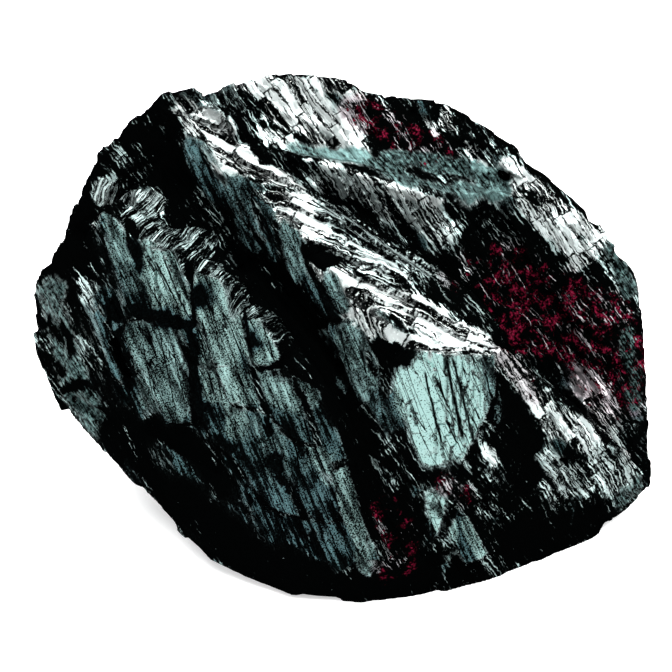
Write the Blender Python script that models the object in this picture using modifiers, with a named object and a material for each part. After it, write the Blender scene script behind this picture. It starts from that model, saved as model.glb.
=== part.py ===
"""A hand-sized lump of hematite: one solid stone of thick, steeply grained plates.

The stone is modelled the way it broke. A few angular masses, each the convex hull of its
corners, make the body. Each mass is split along the grain into blocks that have slipped a
little, flat parting plates lie on its front, and a voxel remesh fuses them into one skin.
The skin is thinned to facets and the underside is cut flat where the stone rests.

Lengths below are in millimetres: x to the right, y to the back, z up.
"""

from random import Random

import bmesh
import bpy
from mathutils import Matrix, Vector

MM = 0.001

# The grain. Parting faces look along PARTING, and grooves run down them along GROOVE.
PARTING = Vector((-0.35, -0.86, 0.36)).normalized()
GROOVE = Vector((0.39, -0.486, -0.782))
GROOVE = (GROOVE - PARTING * GROOVE.dot(PARTING)).normalized()
ACROSS = PARTING.cross(GROOVE)

UPWARD = Vector((0.364, 0.242, 0.931)).normalized()

# The ridge's layers lean a little from the grain, and its slope breaks to narrow ledges.
LEDGE = Vector((0.866, -0.268, -0.422)).normalized()
LAYER = (PARTING - LEDGE * PARTING.dot(LEDGE)).normalized()
SLOPE = Vector((0.188, -0.607, 0.772)).normalized()

SKIN_VOXEL = 0.4
TRIANGLES = 9100
OVERLAP = 0.3  # how far neighbouring blocks run into each other
TILT = 0.05  # how unevenly the splits run
CORE_DEPTH = 2.0  # how deep a crack between blocks can reach
SEED = 42

# Angular masses, as corner points.
MASSES = {
    "front": [
        (-26, -0.5, 37), (-22.5, -2, 34), (-15.5, -4.5, 32.5), (-11, -6.5, 31.5), (-5, -10.5, 28),
        (-1, -13.5, 23.5), (1.5, -18.5, 16), (5, -22.5, 7), (11, -20.5, 4), (2.5, -22.3, 0.5),
        (-4, -21.9, 0.9), (-10, -18.7, 1.5), (-14.3, -16.4, 2.4), (-17, -12.9, 5),
        (-20.3, -7.9, 9), (-25.6, -4.5, 10.1), (-30.2, -1.1, 12.3), (-32.4, 4, 17.4),
        (-29, 0, 27), (-28, 3, 33), (-19, 9, 39), (-15, 6, 34.5), (-10, 2, 30.5), (-5, -3, 26),
        (0, -8, 19), (-20, 14, 10), (10, 4, 10), (10, 14, -1), (-8, 14, -1), (11, -19.5, -1),
        (-9, -14, -1),
    ],
    "ridge": [
        (-17.5, 8, 45.5), (-16, 5.5, 43.5), (-14, 4.3, 42), (-8, 1.5, 39.5), (-5, -1, 37),
        (-2.5, -3.5, 33.5), (2, -7, 30), (4.5, -10.5, 27.3), (7.5, -13.5, 26.8), (11, -15, 27),
        (17, -13, 27), (-9.5, 5, 42), (-4.6, 4.8, 39), (0.5, 4.9, 35), (6.5, 4.8, 31), (11, 5, 28),
        (15, 1.5, 26.3), (18, -4.5, 26), (-19, 9, 38), (-17, 6, 33), (0, -7, 18), (8, -8, 12),
        (16, 4, 20), (20, -8, 14), (-14, 16, 30),
    ],
    "back": [
        (-19.5, 10.5, 46), (-23.3, 12, 42.8), (-27, 12, 38.3), (-30.2, 10.5, 32.6), (-31.5, 9, 29),
        (-17, 8.5, 45.5), (-12, 9, 42.5), (-4, 7.5, 39.6), (7, 8.5, 35.8), (16.5, 11, 33),
        (-9, 12.5, 39.5), (5, 15, 34.5), (16, 16, 31.5), (-28, 16, 16), (-20, 22, 10), (0, 25, 14),
        (18, 22, 10), (30, 12, 6), (16, 23, 27), (26, 18, 20), (-12, 15, -1), (16, 12, -1),
        (-16, 4, -0.5), (22, -4, -1), (22.5, 12.5, 33), (16, 9, 27), (0, 2, 20), (25.5, 13, 29.3),
        (23.5, 8.5, 22), (29, 13.5, 26.4), (33.5, 12, 24),
    ],
    "lip": [
        (-10.5, 5.4, 42.4), (-4.6, 5.4, 41.2), (0.5, 5.7, 39.4), (5.4, 5.9, 37.4), (11.1, 6.6, 35.5),
        (17, 10.6, 33.8), (21.4, 15.2, 32.6), (-10.5, 8, 41.6), (5, 9.5, 35.6), (20, 17, 31.6),
        (-8, 7, 36), (0.5, 7, 32), (6, 7, 29), (11.5, 8, 28), (18, 13, 28),
    ],
    "rim": [
        (-20.5, 11, 45.4), (-13, 11, 46), (-7.5, 13.5, 46.6), (-1, 15, 46.2), (5, 16.2, 43.8),
        (12.5, 17.9, 41), (19, 18, 36.3), (24.7, 17, 33), (30, 14.6, 29), (32.8, 12.6, 26.8),
        (-12, 12.5, 41), (5, 16, 35), (16, 17, 31), (-20, 20, 38), (0, 24, 38), (16, 23, 27),
        (-16, 20, 20), (14, 22, 16), (26, 18, 20), (-26, 14, 36),
    ],
    "lower_right": [
        (7.3, -13.5, 26.2), (11, -15.3, 26.9), (17.5, -13.3, 26.7), (19, -11, 22.5),
        (21.5, -11.5, 20), (25, -10.5, 16.5), (30, -7.5, 11), (35, -4.5, 6), (35.1, -4.6, 3),
        (25, -11.5, 6), (20.5, -14.3, 5.5), (18.5, -16, 4), (11.5, -20.5, 1.1), (11, -20.3, 15),
        (15.5, -17.5, 18), (4, -21, 8), (5, -15, 22), (0, -10, 20), (20, 0, 17), (30, 2, 5),
        (21, 4, -1), (21, -10, -1), (12, -19, -1), (30.5, -8.8, 0.4), (23.2, -14, 0),
        (16.8, -17.7, 1),
    ],
    "right_flank": [
        (33.5, 12.4, 26.8), (35, 11, 24.6), (35.5, 8.6, 21), (35.8, 5.5, 17.4), (36.2, 2.6, 12.4),
        (36.4, -0.3, 7.4), (36.2, -4, 3.2), (31, 10.5, 24.5), (31, 6.5, 18), (29, 1, 12),
        (24, 14, 20), (30, 12, 6), (24, 0, 2), (29.3, 13.5, 27), (30.5, 12, 27.6), (33, -5.5, 1),
        (30, 0, 1.2),
    ],
    "left_wing": [
        (-35.2, 6.6, 23.4), (-34.7, 5, 18), (-33.8, 3, 16.7), (-31.2, -1.1, 11.8), (-28, -2, 25),
        (-31.5, 8.5, 29), (-24, 12, 28), (-22, 8, 12), (-26, 0, 26),
    ],
    "bright_block": [
        (6.7, -13.9, 26.7), (9, -14.6, 27.7), (12.7, -15.6, 28), (17.3, -14.4, 27.3), (7.2, -16, 22.2),
        (8.5, -18.2, 18.6), (9.6, -20.2, 15), (13, -19.8, 15), (15.5, -18, 19.5), (17.4, -16.4, 23.5),
        (10, -8, 25), (17, -8, 24), (14, -12, 12),
    ],
}

# How a mass is broken, cut by cut: the axis, the spacing, and how far blocks slip that way.
GRAIN_BREAKS = ((PARTING, 4.0, 0.5), (ACROSS, 6.0, 0.6), (UPWARD, 9.0, 0.8))
WIDE_BREAKS = ((PARTING, 4.5, 0.9), (ACROSS, 8.0, 0.9), (UPWARD, 9.0, 0.9))
FINE_BREAKS = ((PARTING, 3.0, 0.6), (ACROSS, 5.0, 0.8), (UPWARD, 6.0, 0.8))
RIDGE_BREAKS = ((LAYER, 2.2, 0.35), (LEDGE, 7.0, 0.6))
BREAKS = {
    "front": GRAIN_BREAKS,
    "ridge": RIDGE_BREAKS,
    "back": WIDE_BREAKS,
    "rim": FINE_BREAKS,
    "lower_right": FINE_BREAKS,
    "right_flank": GRAIN_BREAKS,
    "left_wing": GRAIN_BREAKS,
}

# Parting plates on the front: how far out the face lies, and its outline as (across, along).
PLATE_DEPTH = 5.0
PLATES = {
    "shoulder": (21.5, [(-4, -40), (-2.5, -38.5), (-3, -34.5), (-3.5, -31.5), (-5, -33.5), (-5, -36.5)]),
    "upper": (22.2, [(-1.5, -33.5), (3.5, -32), (2, -25), (-0.5, -26.5), (-3.5, -29), (-4, -31)]),
    "lower": (22.6, [(-6, -27), (-1, -25), (-0.5, -22), (-3, -13.5), (-6, -14.5), (-7, -25.5)]),
    "middle": (23.0, [(4.5, -29), (8.5, -25.5), (7, -20.5), (6, -16), (5.5, -11.5), (2, -14), (2.5, -26)]),
    "chip": (22.6, [(7.5, -22), (9.5, -21), (10, -16.5), (9, -15.5), (6.5, -16.5)]),
    "step": (22.2, [(6, -16), (9.5, -13.5), (10, -11.5), (9.5, -6), (7, -7.5), (5.5, -11)]),
    "apron": (21.8, [(-1.5, -14.5), (3.6, -11.8), (4.4, 0.8), (1.2, -1.5), (-0.5, -7)]),
    "skirt": (21.3, [(4, -12), (8, -8.5), (9, -3), (8.3, 2.5), (4.8, 1)]),
    "toe": (23.0, [(10, -3), (12.5, -3), (11.5, 3.5), (11.5, 8.5), (9.5, 7.5), (9, 2.5)]),
    "ridge_upper": (16.4, [(9.5, -37), (12, -34.5), (12.5, -29.5), (11.5, -28), (9.5, -31)]),
    "ridge_middle": (16.6, [(13.5, -29), (14.5, -26.5), (14, -23.5), (12, -22.5), (12, -25.5)]),
    "ridge_lower": (17.2, [(15, -22.5), (17.5, -22), (18.5, -19.5), (16.5, -17.5), (14.5, -18)]),
    "ridge_foot": (17.8, [(14, -18), (17.5, -16.5), (17, -12), (17.5, -4.5), (15, -5.5), (14, -11)]),
    "heel": (15.8, [(17.1, 4.4), (19.7, 5.0), (20.6, 12.4), (17.3, 12.6)]),
}

COLOUR = (0.05, 0.06, 0.06, 1.0)
ROUGHNESS = 0.42
METALLIC = 0.6


def hull(points):
    """The convex solid around these points, which are in metres."""
    bm = bmesh.new()
    for point in points:
        bm.verts.new(point)
    made = bmesh.ops.convex_hull(bm, input=bm.verts)
    inside = [v for v in made["geom_interior"] if isinstance(v, bmesh.types.BMVert)]
    bmesh.ops.delete(bm, geom=inside, context="VERTS")
    return bm


def broken_off(bm, point, direction):
    """What stays of a convex solid when all of it beyond a plane is gone, or None."""
    geometry = bm.verts[:] + bm.edges[:] + bm.faces[:]
    bmesh.ops.bisect_plane(bm, geom=geometry, plane_co=point, plane_no=direction, clear_outer=True)
    points = [v.co.copy() for v in bm.verts]
    bm.free()
    return hull(points) if len(points) > 3 else None


def core(bm, depth):
    """The solid whose faces lie this deep inside a convex solid."""
    inner = bm.copy()
    for face in bm.faces:
        inner = broken_off(inner, face.verts[0].co - face.normal * depth, face.normal)
    return inner


def split(bm, axis, spacing, rng):
    """The slices of a convex solid between uneven, slightly tilted planes across an axis."""
    reach = [v.co.dot(axis) for v in bm.verts]
    places = [min(reach) - spacing * rng.random()]
    while places[-1] < max(reach):
        places.append(places[-1] + spacing * rng.uniform(0.65, 1.35))
    centre = sum((v.co for v in bm.verts), Vector()) / len(bm.verts)
    slices = []
    for low, high in zip(places, places[1:]):
        piece = bm.copy()
        for place, way in ((low - OVERLAP * MM, -1), (high + OVERLAP * MM, 1)):
            lean = Vector((rng.gauss(0, 1), rng.gauss(0, 1), rng.gauss(0, 1))) * TILT
            point = centre + axis * (place - centre.dot(axis))
            piece = piece and broken_off(piece, point, (axis + lean).normalized() * way)
        slices.append(piece)
    bm.free()
    return [piece for piece in slices if piece]


def ledge(block, rng):
    """The block with its top broken to a ledge that looks further up than the slope does."""
    edge = max((v.co for v in block.verts), key=lambda co: co.dot(SLOPE + LAYER * 0.4))
    edge = edge - SLOPE * rng.uniform(0, 0.5) * MM
    return broken_off(block, edge, SLOPE.lerp(UPWARD, rng.uniform(0.15, 0.4)).normalized())


def blocks(name, corners, rng):
    """A mass broken into blocks that have slipped a little, around a sound core."""
    mass = hull([Vector(corner) * MM for corner in corners])
    bmesh.ops.recalc_face_normals(mass, faces=mass.faces)
    sound = core(mass, CORE_DEPTH * MM)
    made = [mass]
    for axis, spacing, slip in BREAKS[name]:
        made = [piece for block in made for piece in split(block, axis, spacing * MM, rng)]
    if name == "ridge":
        made = [piece for piece in (ledge(block, rng) for block in made) if piece]
    for block in made:
        move = sum((axis * rng.uniform(-slip, slip) for axis, spacing, slip in BREAKS[name]), Vector())
        bmesh.ops.translate(block, verts=block.verts, vec=move * MM)
    return [piece for piece in made + [sound] if piece]


def plate(out, outline):
    """A flat plate of that outline, whose face lies that far out along PARTING."""
    bm = bmesh.new()
    face = bm.faces.new([bm.verts.new((ACROSS * a + GROOVE * g + PARTING * out) * MM) for a, g in outline])
    back = bmesh.ops.extrude_face_region(bm, geom=[face])["geom"]
    moved = [v for v in back if isinstance(v, bmesh.types.BMVert)]
    bmesh.ops.translate(bm, verts=moved, vec=-PARTING * PLATE_DEPTH * MM)
    return bm


def ground_block():
    """What lies below the flat the stone rests on."""
    bm = bmesh.new()
    bmesh.ops.create_cube(bm, size=200 * MM, matrix=Matrix.Translation((0, 0, -100 * MM)))
    return bm


def placed(name, mesh):
    obj = bpy.data.objects.new(name, mesh)
    bpy.context.scene.collection.objects.link(obj)
    return obj


def gathered(pieces):
    """One mesh of all the pieces, each closed and facing outwards."""
    whole = bmesh.new()
    for piece in pieces:
        bmesh.ops.recalc_face_normals(piece, faces=piece.faces)
        mesh = bpy.data.meshes.new("piece")
        piece.to_mesh(mesh)
        piece.free()
        whole.from_mesh(mesh)
        bpy.data.meshes.remove(mesh)
    mesh = bpy.data.meshes.new("pieces")
    whole.to_mesh(mesh)
    whole.free()
    return mesh


def evaluated_mesh(obj):
    bpy.context.view_layer.update()
    graph = bpy.context.evaluated_depsgraph_get()
    return bpy.data.meshes.new_from_object(obj.evaluated_get(graph))


def outer_skin(mesh):
    """The mesh without the small closed pockets left between blocks inside it."""
    bm = bmesh.new()
    bm.from_mesh(mesh)
    unseen = set(bm.verts)
    islands = []
    while unseen:
        island = [unseen.pop()]
        for vert in island:
            for edge in vert.link_edges:
                other = edge.other_vert(vert)
                if other in unseen:
                    unseen.remove(other)
                    island.append(other)
        islands.append(island)
    islands.sort(key=len)
    for island in islands[:-1]:
        bmesh.ops.delete(bm, geom=island, context="VERTS")
    bm.to_mesh(mesh)
    bm.free()
    return mesh


def stone_material():
    material = bpy.data.materials.new("hematite_stone")
    material.use_nodes = True
    shader = material.node_tree.nodes["Principled BSDF"]
    shader.inputs["Base Color"].default_value = COLOUR
    shader.inputs["Roughness"].default_value = ROUGHNESS
    shader.inputs["Metallic"].default_value = METALLIC
    return material


def main():
    for obj in list(bpy.data.objects):
        bpy.data.objects.remove(obj)
    rng = Random(SEED)
    pieces = []
    for name, corners in MASSES.items():
        if name in BREAKS:
            pieces += blocks(name, corners, rng)
        else:
            pieces.append(hull([Vector(corner) * MM for corner in corners]))
    pieces += [plate(out, outline) for out, outline in PLATES.values()]

    body = placed("body", gathered(pieces))
    ground = placed("ground", gathered([ground_block()]))
    skin = body.modifiers.new("fuse", "REMESH")
    skin.mode = "VOXEL"
    skin.voxel_size = SKIN_VOXEL * MM
    rough = placed("rough", outer_skin(evaluated_mesh(body)))
    facet = rough.modifiers.new("facet", "DECIMATE")
    facet.ratio = TRIANGLES / (2 * len(rough.data.polygons))
    cut = rough.modifiers.new("rest", "BOOLEAN")
    cut.operation = "DIFFERENCE"
    cut.solver = "EXACT"
    cut.object = ground
    facets = outer_skin(evaluated_mesh(rough))
    for obj in (body, ground, rough):
        bpy.data.objects.remove(obj)

    reach = [[v.co[i] for v in facets.vertices] for i in range(3)]
    middle = Vector([(min(values) + max(values)) / 2 for values in reach])
    facets.transform(Matrix.Translation((-middle.x, -middle.y, 0)))
    facets.materials.append(stone_material())
    stone = bpy.data.objects.new("hematite", facets)
    specimen = bpy.data.collections.new("hematite")
    bpy.context.scene.collection.children.link(specimen)
    specimen.objects.link(stone)


main()
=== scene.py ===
from math import cos, pi, radians, sin
from random import Random

import bmesh
import bpy
import numpy as np
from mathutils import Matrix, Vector, noise
from mathutils.bvhtree import BVHTree


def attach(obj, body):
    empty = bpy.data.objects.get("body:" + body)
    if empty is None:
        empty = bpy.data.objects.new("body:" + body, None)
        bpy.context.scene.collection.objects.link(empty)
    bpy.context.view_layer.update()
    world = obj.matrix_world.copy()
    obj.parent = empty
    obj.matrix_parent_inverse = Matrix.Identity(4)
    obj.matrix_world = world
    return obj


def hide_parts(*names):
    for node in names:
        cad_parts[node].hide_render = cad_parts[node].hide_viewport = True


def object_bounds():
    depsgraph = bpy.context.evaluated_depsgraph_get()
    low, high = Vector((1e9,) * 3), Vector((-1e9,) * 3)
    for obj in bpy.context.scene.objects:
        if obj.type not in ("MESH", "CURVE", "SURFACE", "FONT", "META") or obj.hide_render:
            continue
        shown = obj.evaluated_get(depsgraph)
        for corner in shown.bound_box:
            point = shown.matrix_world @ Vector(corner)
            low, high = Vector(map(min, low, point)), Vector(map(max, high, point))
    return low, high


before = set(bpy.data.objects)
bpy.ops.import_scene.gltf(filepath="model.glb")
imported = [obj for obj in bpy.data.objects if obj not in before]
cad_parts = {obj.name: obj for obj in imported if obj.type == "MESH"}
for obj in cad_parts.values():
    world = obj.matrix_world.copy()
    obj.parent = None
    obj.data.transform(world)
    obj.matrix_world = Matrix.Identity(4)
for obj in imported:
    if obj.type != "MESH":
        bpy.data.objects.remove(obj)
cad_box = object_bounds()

# ---------------------------------------------------------------- the stone
# One lump of massive hematite, iron oxide that grew as thick parallel plates. It parts along
# those plates to flat grooved faces, and across them it breaks to steps and thin splinters.

MM = 0.001

# Ways through the stone. PARTING is square to the flat faces, GROOVE runs down their grooves
# and ACROSS crosses them. On the top's slope LEDGE runs along the layers and LAYER through them.
PARTING = Vector((-0.35, -0.86, 0.36)).normalized()
GROOVE = Vector((0.39, -0.486, -0.782))
GROOVE = (GROOVE - PARTING * GROOVE.dot(PARTING)).normalized()
ACROSS = PARTING.cross(GROOVE)
LEDGE = Vector((0.866, -0.268, -0.422)).normalized()
LAYER = (PARTING - LEDGE * PARTING.dot(LEDGE)).normalized()
GRAIN = (ACROSS, GROOVE, PARTING)

# The skin is one fine even mesh of the solid, and a thin tooth on its rim is rubbed down. An
# edge under NO_LENGTH counts as none.
SKIN_VOXEL = 0.24
TRIANGLES = 190000
NO_LENGTH = 0.0001
TOOTH = Vector((30.6, 14.0, 28.3))
TOOTH_REACH = 2.6
RUBS = 160
RUB = 0.6


def node_mesh(name):
    """A copy of a CAD node's mesh, its loose triangles joined."""
    bm = bmesh.new()
    bm.from_mesh(bpy.data.objects[name].data)
    bmesh.ops.remove_doubles(bm, verts=bm.verts, dist=1e-6)
    bmesh.ops.recalc_face_normals(bm, faces=bm.faces)
    return bm


def placed(name, data):
    obj = bpy.data.objects.new(name, data)
    bpy.context.scene.collection.objects.link(obj)
    return obj


def remade(mesh, kind, **settings):
    """The mesh as one modifier leaves it."""
    blank = placed("blank", mesh)
    modifier = blank.modifiers.new("remade", kind)
    for name, value in settings.items():
        setattr(modifier, name, value)
    bpy.context.view_layer.update()
    graph = bpy.context.evaluated_depsgraph_get()
    made = bpy.data.meshes.new_from_object(blank.evaluated_get(graph))
    bpy.data.objects.remove(blank)
    return made


def rub_down(mesh, place, reach):
    """Smooths away what stands out near a place."""
    bm = bmesh.new()
    bm.from_mesh(mesh)
    near = [vert for vert in bm.verts if (vert.co / MM - place).length < reach]
    for _ in range(RUBS):
        bmesh.ops.smooth_vert(bm, verts=near, factor=RUB, use_axis_x=True, use_axis_y=True, use_axis_z=True)
    bm.to_mesh(mesh)
    bm.free()


bm = node_mesh("hematite")
facets = BVHTree.FromBMesh(bm)
mesh = bpy.data.meshes.new("stone")
bm.to_mesh(mesh)
bm.free()
mesh = remade(mesh, "REMESH", mode="VOXEL", voxel_size=SKIN_VOXEL * MM)
rub_down(mesh, TOOTH, TOOTH_REACH)

# Broken rock: areas along a line of points, in millimetres, each with a radius and how polished it is there.
# How polished a place is painted also paints its light and shade: the trough, notch, gap, pit, hollow,
# underside, upper left and shelf and top shade are painted dark, as shade, and the ledges that really reflect
# the overhead lamp also get the most and palest glints, a painted highlight.
BROKEN = {
    "upper_left": ([(-30.5, 8, 29.5), (-26.5, 10, 37), (-22, 10.5, 43)], 5.1, 0.12),
    "upper_left2": ([(-29.5, 0.5, 29.5), (-29.5, 0.5, 29.5)], 4, 0.05),
    "flecks": ([(-24.5, 10, 39), (-22, 8.5, 38), (-25.5, 9, 36)], 1.4, 0.42),
    "corner": ([(-19, 11, 45.5), (-19, 11, 45.5)], 0.9, 0.4),
    "trough": ([(-20, 8.5, 44), (-19, 7, 38.5), (-14.5, 3, 35), (-9.5, -1, 30.5), (-5, -7, 26.5),
        (-1.5, -11.5, 22.5)], 2.5, 0.0),
    "trough2": ([(-0.5, -14, 21), (3, -17.5, 14.5), (4, -20.5, 10)], 2, 0.05),
    "left_blocks": ([(-33.5, 3.5, 24), (-32, 1.5, 21), (-30.5, -2, 15), (-28.5, -3, 13)], 2.7, 0.57),
    "left_top": ([(-29, -1, 27.5), (-26, -3, 27.5)], 1.6, 0.57),
    "left_low": ([(-26.5, -5.5, 12.5), (-23, -8.5, 10), (-19.5, -13, 7.5)], 2, 0.08),
    "shelf1": ([(-27, 8.5, 35), (-21.5, 2.5, 36.5)], 1.6, 0.64),
    "shelf2": ([(-22.5, 0, 36.5), (-18.5, -3, 34.5)], 2.3, 0.54),
    "shelf3": ([(-19.5, -2.5, 35), (-16, -1.5, 34.5)], 2.3, 0.54),
    "shelf4": ([(-16.5, -4, 33.5), (-14.5, -7, 33)], 2.5, 0.5),
    "shelf5": ([(-14, -8, 32), (-11.5, -9, 31), (-7.5, -10, 28)], 2.1, 0.48),
    "shelf_shade": ([(-16, 4, 35.5), (-12.5, -1, 33)], 1.8, 0.3),
    "ledge_top": ([(-18, 11, 44.5), (-16, 6.5, 44)], 1.5, 0.85),
    "ledge1": ([(-15.5, 9, 43.5), (-11.5, 4, 41)], 2.3, 1.0),
    "ledge2a": ([(-9, 3, 40), (-5, 3, 39)], 1.4, 0.9),
    "ledge2b": ([(-7.5, 0.5, 39), (-1.5, -0.5, 37)], 1.5, 0.92),
    "ledge2c": ([(-6, -2, 37.5), (0.5, -4.5, 34.5)], 1.6, 0.94),
    "ledge3a": ([(-2.5, -6, 33.5), (0.5, -8.5, 32.5)], 1.6, 1.0),
    "ledge3b": ([(2.5, -9, 32), (6, -9, 31), (10.5, -11.5, 28.5), (15, -12.5, 27)], 2.2, 1.0),
    "ledge3c": ([(1.5, -9.5, 29), (6, -13, 27.5), (10.5, -15.5, 27.5)], 1.8, 1.0),
    "grey1": ([(-0.5, 0.5, 36.5), (4, -1.5, 33.5), (9.5, -1, 30)], 2.6, 0.6),
    "grey2": ([(-1, -4.5, 35), (6, -6.5, 32.5)], 1.8, 0.68),
    "notch": ([(4, -11.5, 26.5), (7, -14.5, 26)], 1.2, 0.0),
    "gap": ([(-5, -4.5, 35), (-2.5, -6, 34)], 0.8, 0.0),
    "under_lip": ([(-2, 6, 38), (3, 6, 36), (8.5, 7, 33), (13.5, 7, 29.5)], 1.9, 0.68),
    "bay": ([(18, 10, 28), (15.5, 6.5, 26), (20.5, 6.5, 21), (29.5, 5, 18)], 4.3, 0.24),
    "bay2": ([(28.5, 8.5, 22.5), (29.5, 2.5, 13.5)], 2.7, 0.3),
    "floor": ([(-5, 8, 40.5), (1, 9.5, 39), (6.5, 8.5, 37), (12, 9, 35), (18, 12.5, 33.5)], 1.4, 0.6),
    "hollow": ([(1.5, 13.5, 43.5), (6.5, 13.5, 40.5), (11, 13, 37.5), (16, 14, 36)], 1.8, 0.35),
    "top_pale": ([(-10, 11.5, 46), (-4, 12, 43.5), (0, 10.5, 39.5)], 2.8, 0.9),
    "top_shade": ([(-14, 12, 44.5), (-10.5, 11, 44)], 1.6, 0.4),
    "top_pale2": ([(-9.5, 9, 42.5), (-5, 8, 41)], 1, 0.75),
    "top_edge": ([(-8.5, 13, 46.5), (-1.5, 15, 45.5), (2, 14.5, 44.5)], 0.9, 0.9),
    "floor2": ([(4.5, 10, 38.5), (9, 11.5, 37), (13.5, 12.5, 36), (18, 13.5, 34.5)], 1.2, 0.55),
    "chip1": ([(9.5, 16.5, 40.5), (10.5, 14.5, 39.5), (11, 13.5, 39)], 0.45, 0.8),
    "rim1": ([(11, 17.5, 42), (12, 16, 40.5), (13, 15, 39)], 0.65, 0.9),
    "rim2": ([(13.5, 15, 39), (15, 15, 37), (16, 14, 36)], 0.65, 0.85),
    "rim3": ([(19, 14, 36), (23, 14.5, 32.5), (25.5, 13, 30), (31, 12.5, 26.5)], 1.3, 0.84),
    "rim4": ([(21.5, 11, 32), (25, 11, 28.5), (28, 10.5, 26)], 1.6, 0.78),
    "lip": ([(-5, 5.5, 41), (-0.5, 6.5, 39.5), (5.5, 6, 37), (10, 6.5, 35), (17, 11.5, 33),
        (21, 13, 32.5)], 0.35, 0.85),
    "flank": ([(31.5, 12, 26), (33, 8.5, 22.5)], 1.1, 0.5),
    "flank2": ([(33, 6, 18.5), (33.5, 1.5, 12)], 0.9, 0.45),
    "low1": ([(17, -12.5, 27), (20.5, -12.5, 22), (24, -11, 16.5), (29, -8, 12)], 1.9, 0.74),
    "low2": ([(27.5, 3, 13), (29.5, 0.5, 11), (32.5, -5.5, 8)], 1.8, 0.72),
    "facet": ([(22.5, -12, 11.5), (24.5, -11, 7.5), (29, -8.5, 9.5), (31.5, -6.5, 6)], 2.0, 0.62),
    "pit": ([(17, -15, 21.5), (20.5, -13.5, 13.5), (20, -14, 11)], 1.8, 0.03),
    "below_block": ([(6, -18, 17.5), (11.5, -19.5, 14.5), (16, -17.5, 10.5)], 2.3, 0.34),
    "splint": ([(15.5, -17, 17), (16.5, -17, 15)], 0.4, 0.75),
    "low_mid": ([(5, -18.5, 15), (6, -21.5, 5.5)], 2.3, 0.3),
    "bottom": ([(-18, -13.5, 8), (-11.5, -18, 4.5), (-1.5, -22, 1.5), (8.5, -21, 1.5)], 2.9, 0.0),
    "bottom2": ([(-24, -7, 13), (-17, -11.5, 14.5), (-13, -15.5, 10.5)], 1.6, 0.05),
    "under_right": ([(17.5, -16.5, 5), (24.5, -12.5, 1), (29.5, -8.5, 2)], 1.8, 0.05),
    "corner_right": ([(32, -6.5, 3.5), (33.5, -5.5, 4)], 1.5, 0.5),
}

# Parting faces: the same, for what is flat and grooved. How polished a face is painted also paints how lit or
# shaded it is, darker on the shaded ridge faces and brightest on the block.
FACES = {
    "slab1": ([(-26, -0.5, 37), (-25, -2.5, 33)], 1.2, 0.66),
    "slab1b": ([(-24, -3, 31), (-23, -4, 30)], 0.9, 0.6),
    "slab2": ([(-21.5, -3.5, 33.5), (-19.5, -6, 29)], 1.6, 0.94),
    "slab2b": ([(-19.5, -4, 33.5), (-17, -7.5, 28)], 0.9, 0.85),
    "slab3": ([(-22.5, -7, 25), (-21.5, -8, 18)], 1.7, 0.7),
    "slab3b": ([(-19.5, -8, 26), (-18.5, -11, 18.5)], 1.6, 0.7),
    "slab3_left": ([(-26.5, -3, 27.5), (-24.5, -6, 17.5)], 1.5, 0.42),
    "slab4": ([(-15, -7.5, 32), (-14, -9.5, 27.5), (-12.5, -13, 21)], 1.8, 0.9),
    "slab4b": ([(-15.5, -8.5, 26.5), (-14.5, -11.5, 20.5)], 1, 0.8),
    "slab4c": ([(-12.5, -13, 21), (-11.5, -13.5, 17)], 1.1, 0.75),
    "slab5": ([(-10.5, -10.5, 28.5), (-8.5, -12, 25.5)], 1.5, 0.95),
    "slab6": ([(-9.5, -13.5, 22.5), (-4.5, -15, 22)], 1.5, 0.7),
    "slab6b": ([(-8.5, -14, 18.5), (-7, -17, 13.5)], 1.2, 0.58),
    "slab6c": ([(-11, -14.5, 16.5), (-9.5, -15.5, 14.5)], 0.9, 0.42),
    "slab6d": ([(-4.5, -16, 19), (-3.5, -16.5, 16.5)], 0.8, 0.5),
    "slab6e": ([(-10.5, -16.5, 10.5), (-7.5, -18.5, 7)], 1.4, 0.38),
    "slab6f": ([(-6.5, -18.5, 8), (-2.5, -21, 5.5)], 0.7, 0.36),
    "low_slab1": ([(-3, -17, 16.5), (-1.5, -18.5, 14)], 0.8, 0.75),
    "low_slab1b": ([(0, -20, 16), (0, -22, 12), (2, -24, 9), (3, -22.5, 5.5)], 1.4, 0.75),
    "low_slab2": ([(10, -20, 12.5), (11.5, -20, 7), (13.5, -19, 3)], 1.1, 0.95),
    "low_slab2b": ([(14, -20.5, 9), (15.5, -22, 6.5)], 1.0, 0.95),
    "ridge1": ([(-17, 5.5, 42), (-15.5, 4, 39), (-13.5, 2.5, 37.5)], 1.2, 0.42),
    "ridge1b": ([(-11.5, 1.5, 39), (-10, 0, 33.5)], 1.5, 0.5),
    "ridge1c": ([(-8.5, -1, 38.5), (-8, -2, 32.5)], 0.8, 0.45),
    "ridge2": ([(-6, -3, 36), (-5, -4.5, 32)], 1.2, 0.6),
    "ridge2b": ([(-4, -5.5, 31), (-2, -7, 28.5)], 1, 0.42),
    "ridge2c": ([(-1.5, -7.5, 32), (-0.5, -8.5, 30)], 1, 0.6),
    "ridge3": ([(-2, -6.5, 25), (0, -13, 20.5)], 0.7, 0.62),
    "ridge3b": ([(0.5, -10, 27), (2.5, -12.5, 22)], 1.5, 0.66),
    "ridge3c": ([(3.5, -14.5, 21.5), (5, -16.5, 20)], 1, 0.5),
    "block": ([(6.5, -15.5, 24), (9.5, -19, 18)], 1.6, 1.0),
    "block2": ([(9.5, -16, 26), (11.5, -18.5, 18.5)], 2, 1.0),
    "block3": ([(13, -16, 26.5), (14, -18, 20)], 1.8, 1.0),
    "block4": ([(16, -15, 26.5), (16, -16, 20)], 1.1, 0.6),
}
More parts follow.
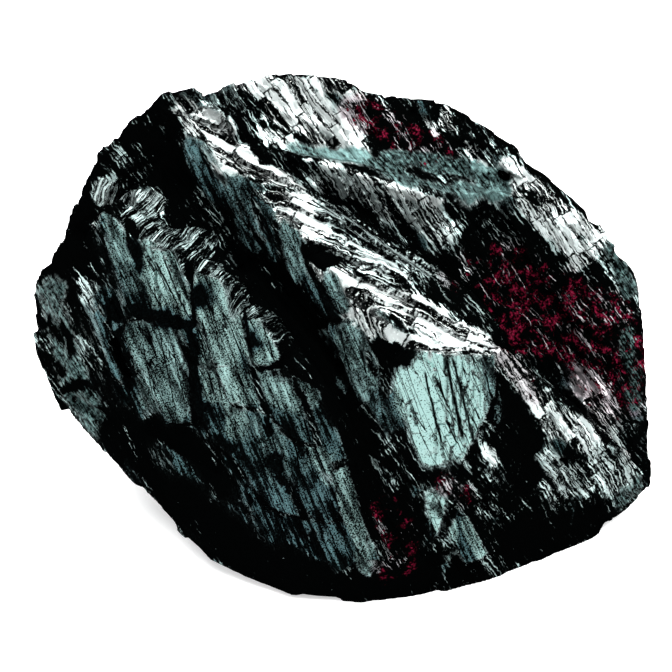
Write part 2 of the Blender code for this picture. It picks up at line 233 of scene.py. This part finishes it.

# Painted shade in the narrow gap between slabs: each is a line of points and a radius.
SHADED_GAPS = [
    ([(-23.5, -4.5, 27), (-20.5, -6.5, 27), (-17, -7.5, 27)], 0.7),
    ([(-23.5, -1, 36), (-23, -3, 34), (-22, -4, 31.5)], 0.6),
    ([(-17, -4.5, 33), (-16.5, -7.5, 30.5), (-16.5, -8, 27)], 0.5),
    ([(-16.5, -8, 26), (-16.5, -10, 22.5), (-16, -11.5, 19)], 0.6),
    ([(-11, -9, 30), (-10.5, -10.5, 28.5), (-10, -11.5, 26.5)], 0.35),
    ([(-9, -12, 24), (-7, -12.5, 25), (-6, -12, 25)], 0.35),
    ([(-15, -11.5, 19), (-13.5, -13.5, 16), (-11.5, -15, 12)], 0.45),
    ([(-25.5, -3, 27.5), (-25, -5, 23.5), (-24, -6.5, 18)], 0.6),
    ([(-8.5, -14, 20.5), (-8, -15, 17), (-6, -18, 12)], 0.35),
    ([(-27, -0.5, 37), (-26.5, -1.5, 33), (-25.5, -3, 28.5)], 0.35),
    ([(-35, 5, 20), (-33.5, 3, 21), (-32, 1, 20)], 0.5),
    ([(-32, 1.5, 22), (-31, 0, 21), (-31, -1, 19.5)], 0.5),
    ([(-32, -1, 14.5), (-29.5, -2.5, 16.5), (-27.5, -4, 16.5)], 0.5),
    ([(-35, 3, 17), (-33.5, 1, 17.5), (-32, -0.5, 16.5)], 0.5),
]

# Where red earthy grains cling, with how thickly.
EARTHY = [
    ([(19, 7, 24), (22, 6.5, 20), (29, 6, 19), (31, 3, 14)], 5.5, 0.9),
    ([(15, 7, 27), (12, -2, 29)], 2.2, 0.6),
    ([(17, -12.5, 26.5), (21, -12, 21)], 1.6, 0.6),
    ([(2, 13.5, 43), (8, 13, 39.5), (11, 13, 37.5)], 2.4, 0.85),
    ([(5, -20, 10), (6, -21.5, 5)], 3, 0.75),
    ([(11, -19.5, 14), (13, -19, 12)], 1.6, 0.8),
    ([(29, 0, 11.5), (32.5, -4, 9)], 1.3, 0.5),
]

# Areas alike in more than how polished and lit they are painted: evenly smooth, on the top's slope, boldly
# stepped, on the shelf above the parting faces, and on the even underside.
SMOOTH = ["left_blocks", "floor", "floor2", "flank", "flank2", "corner_right"]
SLOPE = ["ledge1", "ledge2a", "ledge2b", "ledge2c", "ledge3a", "ledge3b", "ledge3c", "grey1", "grey2"]
BOLD = SLOPE + ["rim1", "rim2", "rim4", "top_pale", "low1", "low2"]
SHELF = ["shelf1", "shelf2", "shelf3", "shelf4", "shelf5"]
UNDERSIDE = ["bottom", "bottom2", "under_right"]

# Ways that the layers show edge-on: along which way they're counted, which way they run, and
# how thick and how long an unbroken piece is. BEND is how far they wander, over which length.
STEEP_GRAIN = (Vector((0.82, 0.29, 0.5)), Vector((0.57, -0.41, -0.71)), 1.2, 5.0)
SLOPE_GRAIN = (LAYER, LEDGE, 1.3, 6.5)
SHELF_GRAIN = (Vector((-0.85, 0.55, 0.19)), Vector((0.44, 0.81, -0.38)), 0.65, 5.0)
BEND = ((0.45, 5), (0.16, 1.2))

# Each layer's breaks are shifted from its neighbour's, and each piece has a chance of its own.
BREAK_SHIFT = 0.6
BREAK_TURN = 12.9
LAYER_TURN = 78.2
PIECE_TURN = 37.7
CHANCE_SPREAD = 4375.5

# An area fades out between these shares of its radius, and a parting face is this much wider
# than its line says. A facet belongs to one by how squarely it faces along PARTING.
AREA_EDGE = (0.75, 1.15)
FACE_SPREAD = 1.3
FACE_FACING = (0.55, 0.8)
LOOSE_FACING = (0.9, 0.97)
STEPPED_FACING = (0.3, 0.7)

# Relief, in millimetres. A parting face goes down in steps that wander along its grooves. Broken
# rock is in tilted pieces, each standing out by its own chance. Outside bold areas only a FAINT
# share of that is left, and even areas lose the EVENED share.
FACE_STEP = 0.4
FACE_SHIFT = 0.35
FACE_WANDER = ((0.3, (1.7, 18, 6)), (0.16, (0.7, 9, 6)), (0.05, (0.8, 0.8, 0.8)))
PIECE_TILT = 0.3
PIECE_STAND = 0.45
PIECE_GRIT = 0.08
GRIT_SIZE = 0.7
FAINT = 0.4
EVENED = 0.8

# The foot stays flat, the relief grows from nothing above it, and none of it leaves the CAD box
# by more than a small share of its size.
FOOT = 0.25
RELIEF_RISE = (0.5, 4.0)
ROOM = 0.01
SEED_STEP = 17.3


def points_of(mesh):
    points = np.empty(len(mesh.vertices) * 3, dtype=np.float32)
    mesh.vertices.foreach_get("co", points)
    return points.reshape(-1, 3).astype(np.float64) / MM


def normals_of(mesh):
    normals = np.empty(len(mesh.vertices) * 3, dtype=np.float32)
    mesh.vertex_normals.foreach_get("vector", normals)
    return normals.reshape(-1, 3).astype(np.float64)


def smooth_step(low, high, value):
    value = np.clip((value - low) / (high - low), 0, 1)
    return value * value * (3 - 2 * value)


def wander(points, sizes, seed):
    """Smooth noise from -1 to 1 whose lumps have these sizes along each axis."""
    scaled = points / np.array(sizes) + seed * SEED_STEP
    return np.array([noise.noise(p) for p in scaled.tolist()])


def reach_of(points, line):
    """How far each point is from a line of points."""
    nearest = np.full(len(points), np.inf)
    for start, end in zip(line, line[1:]):
        start, end = np.array(start, dtype=float), np.array(end, dtype=float)
        span = end - start
        along = np.clip((points - start) @ span / max(span @ span, 1e-9), 0, 1)
        nearest = np.minimum(nearest, np.linalg.norm(points - start - along[:, None] * span, axis=1))
    return nearest


def painted(points, areas, base=0, ragged=0):
    """A value at every point: the base one, changed by each area in turn."""
    values = np.full(len(points), float(base))
    for line, radius, value in areas:
        share = 1 - smooth_step(*AREA_EDGE, (reach_of(points, line) + ragged) / radius)
        values += (value - values) * share
    return values


def widened(areas, factor):
    return [(line, radius * factor, value) for line, radius, value in areas]


def even(areas, value=1):
    """The areas with one value for them all."""
    return [(line, radius, value) for line, radius, *_ in areas]


def rocks(names, value=1):
    return even([BROKEN[name] for name in names], value)


def facing_of(mesh):
    """How squarely the CAD facet under each vertex faces along PARTING."""
    values = np.empty(len(mesh.vertices))
    for index, vert in enumerate(mesh.vertices):
        normal = facets.find_nearest(vert.co)[1]
        values[index] = abs(normal.dot(PARTING)) if normal else 0
    return values


def flatness(points, facing, ragged=0):
    """1 on the parting faces, 0 on broken rock."""
    hand = painted(points, widened(even(FACES.values()), FACE_SPREAD), 0, ragged)
    broken = painted(points, even(BROKEN.values()), 0, ragged)
    loose = smooth_step(*LOOSE_FACING, facing) * (1 - broken)
    return np.maximum(hand * smooth_step(*FACE_FACING, facing), loose)


def bending(points):
    """How far the layers wander from flat."""
    (wide, wide_size), (fine, fine_size) = BEND
    return wide * wander(points, (wide_size,) * 3, 4) + fine * wander(points, (fine_size,) * 3, 5)


def layering(points):
    """How far each point is through the layers and along them, counted in pieces."""
    bend = bending(points)
    through, along = [], []
    for across, run, thickness, length in (STEEP_GRAIN, SLOPE_GRAIN, SHELF_GRAIN):
        through.append((points @ np.array(across) + bend) / thickness)
        along.append(points @ np.array(run) / length)
    on_slope = painted(points, rocks(SLOPE)) > 0.5
    on_shelf = painted(points, rocks(SHELF)) > 0.5
    choice = np.where(on_shelf, 2, np.where(on_slope, 1, 0))
    return np.choose(choice, through), np.choose(choice, along)


def chances(through, along):
    """The piece each point is in: how far through it, and a number from 0 to 1 for the piece."""
    layer = np.floor(through)
    piece = np.floor(along + BREAK_SHIFT * np.sin(layer * BREAK_TURN))
    chance = np.modf(np.abs(np.sin(layer * LAYER_TURN + piece * PIECE_TURN) * CHANCE_SPREAD))[0]
    return through - layer, chance


def parted(points, flat):
    """The points drawn to flat grooved steps where a parting face is listed."""
    grain = np.stack([points @ np.array(axis) for axis in GRAIN], axis=1)
    rise = sum(amount * wander(grain, sizes, seed) for seed, (amount, sizes) in enumerate(FACE_WANDER, 1))
    target = np.round((grain[:, 2] + rise) / FACE_STEP) * FACE_STEP
    hand = painted(points, widened(even(FACES.values()), FACE_SPREAD))
    shift = np.clip(target - grain[:, 2], -FACE_SHIFT, FACE_SHIFT) * flat * hand
    return points + np.outer(shift, np.array(PARTING))


def splintered(points, normals, flat):
    """The points of broken rock moved out or in with the piece that each is in."""
    smooth = painted(points, rocks(SMOOTH, EVENED))
    under = painted(points, rocks(UNDERSIDE, EVENED))
    broken = (1 - flat) * (1 - smooth) * (1 - under)
    within, chance = chances(*layering(points))
    bold = painted(points, rocks(BOLD), FAINT)
    height = (PIECE_TILT * (within - 0.5) + PIECE_STAND * (chance - 0.5)) * broken * bold
    height += PIECE_GRIT * broken * wander(points, (GRIT_SIZE,) * 3, 6)
    height *= smooth_step(*RELIEF_RISE, points[:, 2])
    return points + normals * height[:, None]


def cleared(mesh):
    """The mesh without faces of no area and without loose flaps of two faces back to back."""
    bm = bmesh.new()
    bm.from_mesh(mesh)
    bmesh.ops.dissolve_degenerate(bm, dist=NO_LENGTH * MM, edges=bm.edges)
    flaps = [face for face in bm.faces if len({near for edge in face.edges for near in edge.link_faces}) < 3]
    bmesh.ops.delete(bm, geom=flaps, context="FACES")
    bm.to_mesh(mesh)
    bm.free()
    return mesh


points = points_of(mesh)
normals = normals_of(mesh)
flat = flatness(points, facing_of(mesh)) * smooth_step(*STEPPED_FACING, normals @ np.array(PARTING))
points = parted(points, flat)
foot = points[:, 2] < FOOT
points = splintered(points, normals, flat)
points[:, 2] = np.where(foot, 0, np.maximum(points[:, 2], 0))
low, high = (np.array(corner) / MM for corner in cad_box)
room = ROOM * (high - low)
points = np.clip(points, low - room, high + room)
mesh.vertices.foreach_set("co", (points * MM).astype(np.float32).ravel())
mesh.update()
mesh = cleared(remade(mesh, "DECIMATE", ratio=TRIANGLES / (2 * len(mesh.polygons))))

# How open each place lies, felt with a few rays that start just off the surface. It paints shade into cracks
# and hollows.
RAYS = 12
RAY_SEED = 3
RAY_REACH = 5
RAY_START = 0.06

# How ragged the edges of areas are, and how polished and lit what lies outside them all is painted.
RAGGED_WIDE, RAGGED_FINE = (0.8, 3), (0.45, 1)
ROCK_SPREAD = 1.15
ROCK_POLISH_AND_LIGHT = 0.3
FACE_POLISH_AND_LIGHT = 0.42
MARKED_FACING = (0.55, 0.85)


def openness_for_painted_shade(mesh):
    """How much of the sky each vertex sees, from 0 in a crack to 1 on an edge."""
    shell = BVHTree.FromPolygons([v.co for v in mesh.vertices], [p.vertices for p in mesh.polygons])
    rng = Random(RAY_SEED)
    rays = [Vector((rng.gauss(0, 1), rng.gauss(0, 1), rng.gauss(0, 1))).normalized() for _ in range(RAYS)]
    seen = np.zeros(len(mesh.vertices))
    reach = RAY_REACH * MM
    for index, vert in enumerate(mesh.vertices):
        normal = vert.normal
        start = vert.co + normal * RAY_START * MM
        total = 1e-6
        clear = 0.0
        for ray in rays:
            weight = ray.dot(normal)
            if weight < 0:
                ray, weight = -ray, -weight
            total += weight
            hit = shell.ray_cast(start, ray, reach)[3]
            clear += weight * (1 if hit is None else hit / reach)
        seen[index] = clear / total
    return seen


def raggedness(points):
    (wide, wide_size), (fine, fine_size) = RAGGED_WIDE, RAGGED_FINE
    return wide * wander(points, (wide_size,) * 3, 8) + fine * wander(points, (fine_size,) * 3, 9)


def store(mesh, name, values):
    attribute = mesh.attributes.new(name, "FLOAT", "POINT")
    attribute.data.foreach_set("value", np.asarray(values, dtype=np.float32))


points = points_of(mesh)
ragged = raggedness(points)
flat = flatness(points, facing_of(mesh), ragged * 0.4)
flat *= smooth_step(*MARKED_FACING, np.abs(normals_of(mesh) @ np.array(PARTING)))
on_broken = painted(points, widened(BROKEN.values(), ROCK_SPREAD), ROCK_POLISH_AND_LIGHT, ragged * 1.3)
on_faces = painted(points, widened(FACES.values(), FACE_SPREAD), FACE_POLISH_AND_LIGHT, ragged * 0.5)
# Painted shade: the gap between slabs is painted as not polished or lit at all, so it shows black.
gap_shade = painted(points, even(SHADED_GAPS), 0, ragged * 0.25)
store(mesh, "open", openness_for_painted_shade(mesh))
store(mesh, "flat", flat)
# How polished each place is painted, which also paints its light and shade: low in the trough, hollows and
# underside, and high on the ledges that catch the lamps.
store(mesh, "polish_and_painted_light", (on_broken + (on_faces - on_broken) * flat) * (1 - gap_shade))
store(mesh, "earth", painted(points, EARTHY, 0, ragged))
store(mesh, "smooth", painted(points, rocks(SMOOTH), 0, ragged))
store(mesh, "bend", bending(points))
store(mesh, "slope", painted(points, rocks(SLOPE), 0, ragged * 0.6))
store(mesh, "shelf", painted(points, rocks(SHELF), 0, ragged * 0.6))
stone = placed("stone", mesh)

# The finish. Bare metal is grey-green and paler where it is painted more polished and lit, what lies between
# the glints is near black, painted shade, and the earthy grains are deep red.
SHADE_BLACK = (0.0003, 0.0004, 0.0004, 1)
FACE_DULL_SHADED, FACE_BRIGHT_LIT = (0.06, 0.12, 0.13, 1), (0.19, 0.3, 0.284, 1)
ROCK_DULL_SHADED, ROCK_BRIGHT_LIT = (0.36, 0.47, 0.46, 1), (0.55, 0.6, 0.59, 1)
SMOOTH_METAL = (0.09, 0.155, 0.15, 1)
EARTHY_METAL = (0.4, 0.22, 0.28, 1)
RED_SHADE, RED_GLOW = (0.001, 0.0001, 0.0003, 1), (0.11, 0.005, 0.018, 1)
BLACK_ROUGHNESS, METAL_ROUGHNESS = 0.7, 0.35

# How long the lumps of each pattern are: in millimetres, in millimetres across, along and
# through the grain, or in pieces through and along the layers.
FLECK, SPARK, SPECK = 0.5, 0.22, 0.15
CLUMP, RED_PATCH, GRANULE = 1.5, 0.9, 0.24
CRACK_RAGGED, LINE_RAGGED, STIR = 0.5, 0.6, 0.7
FACE_PATCH, FACE_COLUMN, FINE_GROOVE = (1.2, 4.0, 1.2), (0.5, 12.0, 2.0), (0.9, 14.0, 3.0)
FIBRE, SLIVER = (0.14, 0.55, 1.0), (0.42, 1.1, 1.0)
SPLINTS = (3.0, 2.0, 1.0)
STIR_REACH = (0.5, 0.3, 0.0)

# How ragged cracks and deep lines are, how broad a crack is at a piece's sides and ends, and
# how far facets turn from the surface on rock and on a face. The bump is in millimetres.
CRACK_RAGGEDNESS, LINE_RAGGEDNESS = 0.6, 0.3
SIDE_CRACK, END_CRACK, CRACK_EDGE = 1.2, 5.0, 0.14
ROCK_SWAY, FACE_SWAY = 0.35, 0.04
BUMP_STRENGTH, BUMP_DEPTH = 0.6, 0.25

# How much noise it takes to glint or spark, where the rock is painted least polished and lit and where most.
GLINT_ABOVE, GLINT_EDGE = (0.66, 0.44), 0.025
SPARK_ABOVE, SPARK_EDGE, SPARK_SHINE = (0.8, 0.66), 0.03, 0.8
DOT_ABOVE, DOT_EDGE = (0.56, 0.37), 0.035
RED_ABOVE, RED_EDGE = 0.64, 0.05

# Deep grooves on parting faces: from and to, each across and along the grain, and half its width.
GROOVES = [
    (-0.2, -31.7, 0.2, -26.4, 0.1), (0.8, -31.7, 0.6, -25.1, 0.1), (1.8, -31.6, 1.4, -25.6, 0.08),
    (1.1, -24, -0.2, -15.8, 0.09), (2.4, -24, 0.5, -15, 0.08), (6.8, -22.6, 5.8, -17.1, 0.14),
    (8.6, -20.6, 8.2, -16.5, 0.08), (-5.6, -24, -7.4, -16.2, 0.06), (-3.2, -24.3, -5, -16, 0.06),
    (-2.3, -22.7, -3.6, -16.6, 0.06), (22.7, -9.1, 20.9, -1.2, 0.12), (25.3, -9.7, 23.1, -0.8, 0.16),
    (26.1, -9.4, 23.8, 0, 0.13), (28.5, -8.5, 27.4, -3.5, 0.1), (12.2, -16.9, 11.4, -9.8, 0.2),
    (14.9, -16.9, 13.6, -11, 0.1), (11.9, -33, 10.1, -26.8, 0.07), (12.4, -31.6, 10.9, -26.1, 0.07),
    (14.3, -22.5, 13.8, -19.3, 0.07), (-8.4, -29.8, -10.2, -22.6, 0.25), (-6.7, -29.8, -8.3, -22, 0.1),
    (6.6, -9.6, 5.4, -4.6, 0.09), (4.2, -10.5, 3.7, -5.2, 0.09),
]

material = bpy.data.materials.new("hematite_stone")
material.use_nodes = True
tree = material.node_tree
shader = tree.nodes["Principled BSDF"]


def fed(node, inputs):
    """The node, each of its inputs given a value or the socket it is linked to."""
    for name, value in inputs.items():
        if isinstance(value, bpy.types.NodeSocket):
            tree.links.new(value, node.inputs[name])
        else:
            node.inputs[name].default_value = value
    return node


def add(kind, inputs, output=0, **settings):
    node = tree.nodes.new("ShaderNode" + kind)
    for name, value in settings.items():
        setattr(node, name, value)
    return fed(node, inputs).outputs[output]


def calc(operation, *values, clamp=False):
    return add("Math", dict(enumerate(values)), operation=operation, use_clamp=clamp)


def vector(operation, *values, output=0):
    return add("VectorMath", dict(enumerate(values)), output, operation=operation)


def mapped(value, low, high, start, end, clamp=True):
    names = ("Value", "From Min", "From Max", "To Min", "To Max")
    return add("MapRange", dict(zip(names, (value, low, high, start, end))), clamp=clamp)


def ramp(value, low, high):
    """Smoothly from 0 at the low value to 1 at the high one."""
    inputs = {"Value": value, "From Min": low, "From Max": high}
    return add("MapRange", inputs, interpolation_type="SMOOTHSTEP")


def cut(value, threshold, width):
    """0 where the value is under the threshold, 1 above it."""
    return ramp(calc("SUBTRACT", value, threshold), -width, width)


def blend(factor, first, second):
    return add("Mix", {0: factor, 2: first, 3: second}, data_type="FLOAT")


def mix_colour(factor, first, second):
    return add("Mix", {0: factor, 6: first, 7: second}, 2, data_type="RGBA")


def summed(*parts):
    """The parts, each a value and its share, added up."""
    total = 0.0
    for value, share in parts:
        total = calc("MULTIPLY_ADD", value, share, total)
    return total


def along_axis(axis, unit=1.0):
    """How far a point is along an axis, in units of so many millimetres."""
    return vector("DOT_PRODUCT", place, tuple(axis * (1 / MM) / unit), output="Value")


def marbled(coordinates, size, detail=2.0, output=0):
    """Noise in these coordinates, its lumps this long along each axis."""
    stretched = vector("MULTIPLY", coordinates, tuple(1.0 / length for length in size))
    inputs = {"Vector": stretched, "Scale": 1.0, "Detail": detail, "Roughness": 0.6}
    return add("TexNoise", inputs, output)


def grit(size, detail=2.0, output=0):
    """Noise whose lumps are as long every way."""
    return marbled(mm, (size, size, size), detail, output)


def about_zero(noise_value, reach):
    """The noise, moved to lie about zero and scaled."""
    return calc("MULTIPLY", calc("SUBTRACT", noise_value, 0.5), reach)


def painted_on(name):
    return add("Attribute", {}, "Fac", attribute_name=name)


def sheets_of(grain_way):
    """Where a point is in this grain: through the layers and along them, counted in pieces."""
    across, run, thickness, length = grain_way
    through = calc("MULTIPLY_ADD", painted_on("bend"), 1 / thickness, along_axis(across, thickness))
    return add("CombineXYZ", {"X": through, "Y": along_axis(run, length)})


def chosen(mask, first, second):
    """The first where the mask is low and the second where it is high, with nothing between."""
    switch = calc("GREATER_THAN", mask, 0.5)
    switch = add("CombineXYZ", {"X": switch, "Y": switch, "Z": switch})
    return vector("MULTIPLY_ADD", vector("SUBTRACT", second, first), switch, first)


def to_edge(share):
    """From 0 at either end of a piece to a half in its middle."""
    return calc("MINIMUM", share, calc("SUBTRACT", 1.0, share))


place = add("TexCoord", {}, "Object")
mm = add("VectorMath", {0: place, "Scale": 1 / MM}, operation="SCALE")
axes = [along_axis(axis) for axis in GRAIN]
grain = add("CombineXYZ", dict(zip("XYZ", axes)))
open_sky_for_painted_shade, flat, polish_and_painted_light = painted_on("open"), painted_on("flat"), painted_on("polish_and_painted_light")
earth, smooth = painted_on("earth"), painted_on("smooth")

# Broken rock shows its layers edge-on. Each layer is broken into lengths, and every piece has dark cracks
# round it, painted shade in the gap between pieces, and a shine of its own. More pieces shine where more
# light is painted.
sheets = chosen(painted_on("slope"), sheets_of(STEEP_GRAIN), sheets_of(SLOPE_GRAIN))
sheets = chosen(painted_on("shelf"), sheets, sheets_of(SHELF_GRAIN))
parts = add("SeparateXYZ", {"Vector": sheets})
through, along = parts.node.outputs["X"], parts.node.outputs["Y"]
layer = calc("FLOOR", through)
shifted = calc("MULTIPLY", calc("SINE", calc("MULTIPLY", layer, BREAK_TURN)), BREAK_SHIFT)
along = calc("ADD", along, shifted)
piece = calc("FLOOR", along)
turn = calc("ADD", calc("MULTIPLY", layer, LAYER_TURN), calc("MULTIPLY", piece, PIECE_TURN))
chance = calc("FRACT", calc("ABSOLUTE", calc("MULTIPLY", calc("SINE", turn), CHANCE_SPREAD)))
side = calc("MULTIPLY", to_edge(calc("SUBTRACT", through, layer)), SIDE_CRACK)
end = calc("MULTIPLY", to_edge(calc("SUBTRACT", along, piece)), END_CRACK)
rough_edge = about_zero(grit(CRACK_RAGGED, 3.0), CRACK_RAGGEDNESS)
crack = ramp(calc("ADD", calc("MINIMUM", side, end), rough_edge), 0.0, CRACK_EDGE)

stir = vector("SUBTRACT", grit(STIR, 3.0, output=1), (0.5, 0.5, 0.5))
sheets = vector("MULTIPLY_ADD", stir, STIR_REACH, sheets)
fibre = marbled(sheets, FIBRE)
sliver = marbled(sheets, SLIVER)
fleck = grit(FLECK, 4.0)
splints = {"Vector": vector("MULTIPLY", sheets, SPLINTS), "Scale": 1.0}
splint = add("TexVoronoi", splints, "Color", voronoi_dimensions="2D")
splint_chance = add("SeparateColor", {0: splint}, 1)

fine_level = summed((chance, 0.1), (fibre, 0.5), (sliver, 0.25), (fleck, 0.15))
bold_level = summed((chance, 0.25), (fibre, 0.3), (sliver, 0.45))
level = blend(ramp(polish_and_painted_light, 0.75, 0.95), fine_level, bold_level)
glint = summed((splint_chance, 0.6), (0.4, 1.0))
glints = cut(level, mapped(polish_and_painted_light, 0.0, 1.0, *GLINT_ABOVE), GLINT_EDGE)
# Painted shade: each piece goes dark at its cracks, in the gap between pieces.
broken_shine = calc("MULTIPLY", calc("MULTIPLY", crack, glint), glints)
even_shine = ramp(summed((fibre, 0.5), (fleck, 0.5), (polish_and_painted_light, 0.4)), 0.65, 0.92)
spark = cut(grit(SPARK), mapped(polish_and_painted_light, 0.0, 1.0, *SPARK_ABOVE), SPARK_EDGE)
broken_shine = blend(smooth, broken_shine, even_shine)
broken_shine = calc("MAXIMUM", broken_shine, calc("MULTIPLY", spark, SPARK_SHINE))

# A parting face has a tone that changes in long patches and is lighter where more light is painted on it,
# fine dots that thin out as it darkens, a dark rim of painted shade where little light is painted on it, fine
# grooves and a few deep ones. The grooves are painted dark, as shade in them.
patches = marbled(grain, FACE_PATCH, 4.0)
columns = marbled(grain, FACE_COLUMN)
face_level = summed((patches, 0.55), (columns, 0.45))
best = ramp(polish_and_painted_light, 0.92, 1.0)
# Painted shade: a dark rim where the face is painted least polished and lit.
edge = ramp(summed((polish_and_painted_light, 1.0), (face_level, 1.3)), 1.0, 1.1)
face_low = summed((edge, -0.24), (polish_and_painted_light, -0.14), (0.74, 1.0))
face_low = summed((face_low, 1.0), (best, -0.09))
face_high = summed((face_low, 1.0), (best, -0.07), (0.26, 1.0))
tone = mapped(face_level, face_low, face_high, 0.0, 1.0)
dots = cut(grit(SPECK, 1.0), mapped(tone, 0.0, 1.0, *DOT_ABOVE), DOT_EDGE)
face_value = calc("MULTIPLY", dots, mapped(tone, 0.0, 1.0, 0.1, 1.0))
face_value = calc("MULTIPLY", face_value, blend(edge, 0.08, 1.0))

groove = ramp(calc("ABSOLUTE", calc("SUBTRACT", marbled(grain, FINE_GROOVE, 1.0), 0.5)), 0.006, 0.02)
ragged_line = about_zero(grit(LINE_RAGGED), LINE_RAGGEDNESS)
deep = 0.0
for across_start, along_start, across_end, along_end, half_width in GROOVES:
    down = mapped(axes[1], along_start, along_end, 0.0, 1.0, clamp=False)
    centre = mapped(down, 0.0, 1.0, across_start, across_end, clamp=False)
    off = calc("ABSOLUTE", calc("ADD", calc("SUBTRACT", axes[0], centre), ragged_line))
    within = calc("SUBTRACT", 1.0, ramp(calc("ABSOLUTE", calc("SUBTRACT", down, 0.5)), 0.45, 0.55))
    line = calc("MULTIPLY", within, calc("SUBTRACT", 1.0, ramp(off, half_width * 0.6, half_width * 1.5)))
    deep = calc("MAXIMUM", deep, line)
groove = calc("MULTIPLY", groove, calc("SUBTRACT", 1.0, deep))
# Painted shade: the fine and deep grooves darken the face in thin lines.
face_shine = calc("MULTIPLY", groove, face_value)

# Painted light and shade: where the shine is high the stone is metal that reflects the lamps, and where it is
# low it is painted near black, as shade.
shine = blend(flat, broken_shine, face_shine)
# Painted shade: the shine fades out where little of the sky is open, in cracks and hollows.
shine = calc("MULTIPLY", shine, ramp(open_sky_for_painted_shade, 0.3, 0.7), clamp=True)

# Red earthy grains sit in clumps wherever the metal doesn't shine.
earthy = cut(summed((grit(CLUMP, 4.0), 0.7), (earth, 0.3)), RED_ABOVE, RED_EDGE)
earthy = calc("MULTIPLY", earthy, calc("SUBTRACT", 1.0, ramp(shine, 0.0, 0.3)))
bare = calc("SUBTRACT", 1.0, earthy)
glow = summed((grit(RED_PATCH), 0.5), (grit(GRANULE, 1.0), 0.5))
red = mix_colour(ramp(glow, 0.47, 0.66), RED_SHADE, RED_GLOW)

# Painted light and shade: the metal is paler where it is painted more polished and lit, darker where it is
# painted shaded.
face_metal = mix_colour(ramp(polish_and_painted_light, 0.35, 0.85), FACE_DULL_SHADED, FACE_BRIGHT_LIT)
rock_metal = mix_colour(ramp(polish_and_painted_light, 0.45, 0.9), ROCK_DULL_SHADED, ROCK_BRIGHT_LIT)
metal = mix_colour(flat, rock_metal, face_metal)
metal = mix_colour(smooth, metal, SMOOTH_METAL)
reddened = calc("MULTIPLY", earth, calc("SUBTRACT", 0.5, smooth), clamp=True)
metal = mix_colour(reddened, metal, EARTHY_METAL)
colour = mix_colour(earthy, mix_colour(shine, SHADE_BLACK, metal), red)

# Small broken facets are each turned their own way, and the fibres and grooves are felt.
sway = blend(flat, ROCK_SWAY, FACE_SWAY)
turned = add("VectorMath", {0: vector("SUBTRACT", splint, (0.5, 0.5, 0.5)), "Scale": sway}, operation="SCALE")
normal = vector("NORMALIZE", vector("ADD", add("NewGeometry", {}, "Normal"), turned))
height = blend(flat, fibre, groove)
bump = {"Height": height, "Normal": normal, "Strength": BUMP_STRENGTH, "Distance": BUMP_DEPTH * MM}
fed(shader, {
    "Base Color": colour,
    "Metallic": calc("MULTIPLY", ramp(shine, 0.0, 0.06), bare, clamp=True),
    "Roughness": blend(shine, BLACK_ROUGHNESS, METAL_ROUGHNESS),
    "Specular IOR Level": 0.0,
    "Normal": add("Bump", bump, "Normal"),
})
mesh.materials.clear()
mesh.materials.append(material)

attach(stone, "root")
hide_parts("hematite")

# ---------------------------------------------------------------- the floor
# A plain sheet of white card that the stone rests on. It is one flat piece, and glows a little
# so that it shows as white as the backdrop and keeps the stone's shadow faint.

CARD_HALF_SIZE = 2.0
CARD_WHITE = (0.85, 0.85, 0.85, 1)
CARD_ROUGHNESS = 0.9
CARD_GLOW = (1, 1, 1, 1)
CARD_GLOW_STRENGTH = 0.4

bm = bmesh.new()
bmesh.ops.create_grid(bm, x_segments=1, y_segments=1, size=CARD_HALF_SIZE)
floor_mesh = bpy.data.meshes.new("floor")
bm.to_mesh(floor_mesh)
bm.free()
floor = placed("floor", floor_mesh)
card = bpy.data.materials.new("card")
card.use_nodes = True
paper = card.node_tree.nodes["Principled BSDF"].inputs
paper["Base Color"].default_value = CARD_WHITE
paper["Roughness"].default_value = CARD_ROUGHNESS
paper["Emission Color"].default_value = CARD_GLOW
paper["Emission Strength"].default_value = CARD_GLOW_STRENGTH
floor_mesh.materials.append(card)

# ---------------------------------------------------------------- camera and light
# A small studio: a large soft box over the stone, a smaller one low at its front left, and an
# even pale backdrop. The camera looks down at the stone's front from some way off.

CAMERA_ELEVATION = radians(30)
CAMERA_AIM = Vector((-0.815, 0.048, 0))
CAMERA_RISE = 18.3
CAMERA_DISTANCE = 320
CAMERA_SENSOR = 36
CAMERA_LENS = 146.2
CAMERA_NEAR = 0.01
BACKDROP = (0.62, 0.63, 0.64, 1)


def softbox(name, direction, distance, size, power):
    """A rectangular lamp in this direction that faces the stone."""
    data = bpy.data.lights.new(name, "AREA")
    data.shape = "RECTANGLE"
    data.size, data.size_y = size
    data.energy = power
    lamp = placed(name, data)
    direction = Vector(direction).normalized()
    lamp.location = direction * distance
    lamp.rotation_euler = direction.to_track_quat("Z", "Y").to_euler()


back = Vector((0, -cos(CAMERA_ELEVATION), sin(CAMERA_ELEVATION)))
up = Vector((0, sin(CAMERA_ELEVATION), cos(CAMERA_ELEVATION)))
camera_data = bpy.data.cameras.new("camera")
camera = placed("camera", camera_data)
camera.location = CAMERA_AIM * MM + up * CAMERA_RISE * MM + back * CAMERA_DISTANCE * MM
camera.rotation_euler = (pi / 2 - CAMERA_ELEVATION, 0, 0)
camera_data.sensor_width = CAMERA_SENSOR
camera_data.lens = CAMERA_LENS
camera_data.clip_start = CAMERA_NEAR
bpy.context.scene.camera = camera

softbox("overhead", direction=(0.15, 0.1, 0.9), distance=0.8, size=(1.6, 1.6), power=50)
softbox("front_left", direction=(-0.65, -0.72, 0.25), distance=0.6, size=(0.8, 0.5), power=2.4)
world = bpy.data.worlds.new("studio")
bpy.context.scene.world = world
world.use_nodes = True
world.node_tree.nodes["Background"].inputs["Color"].default_value = BACKDROP
bpy.context.scene.view_settings.view_transform = "Standard"
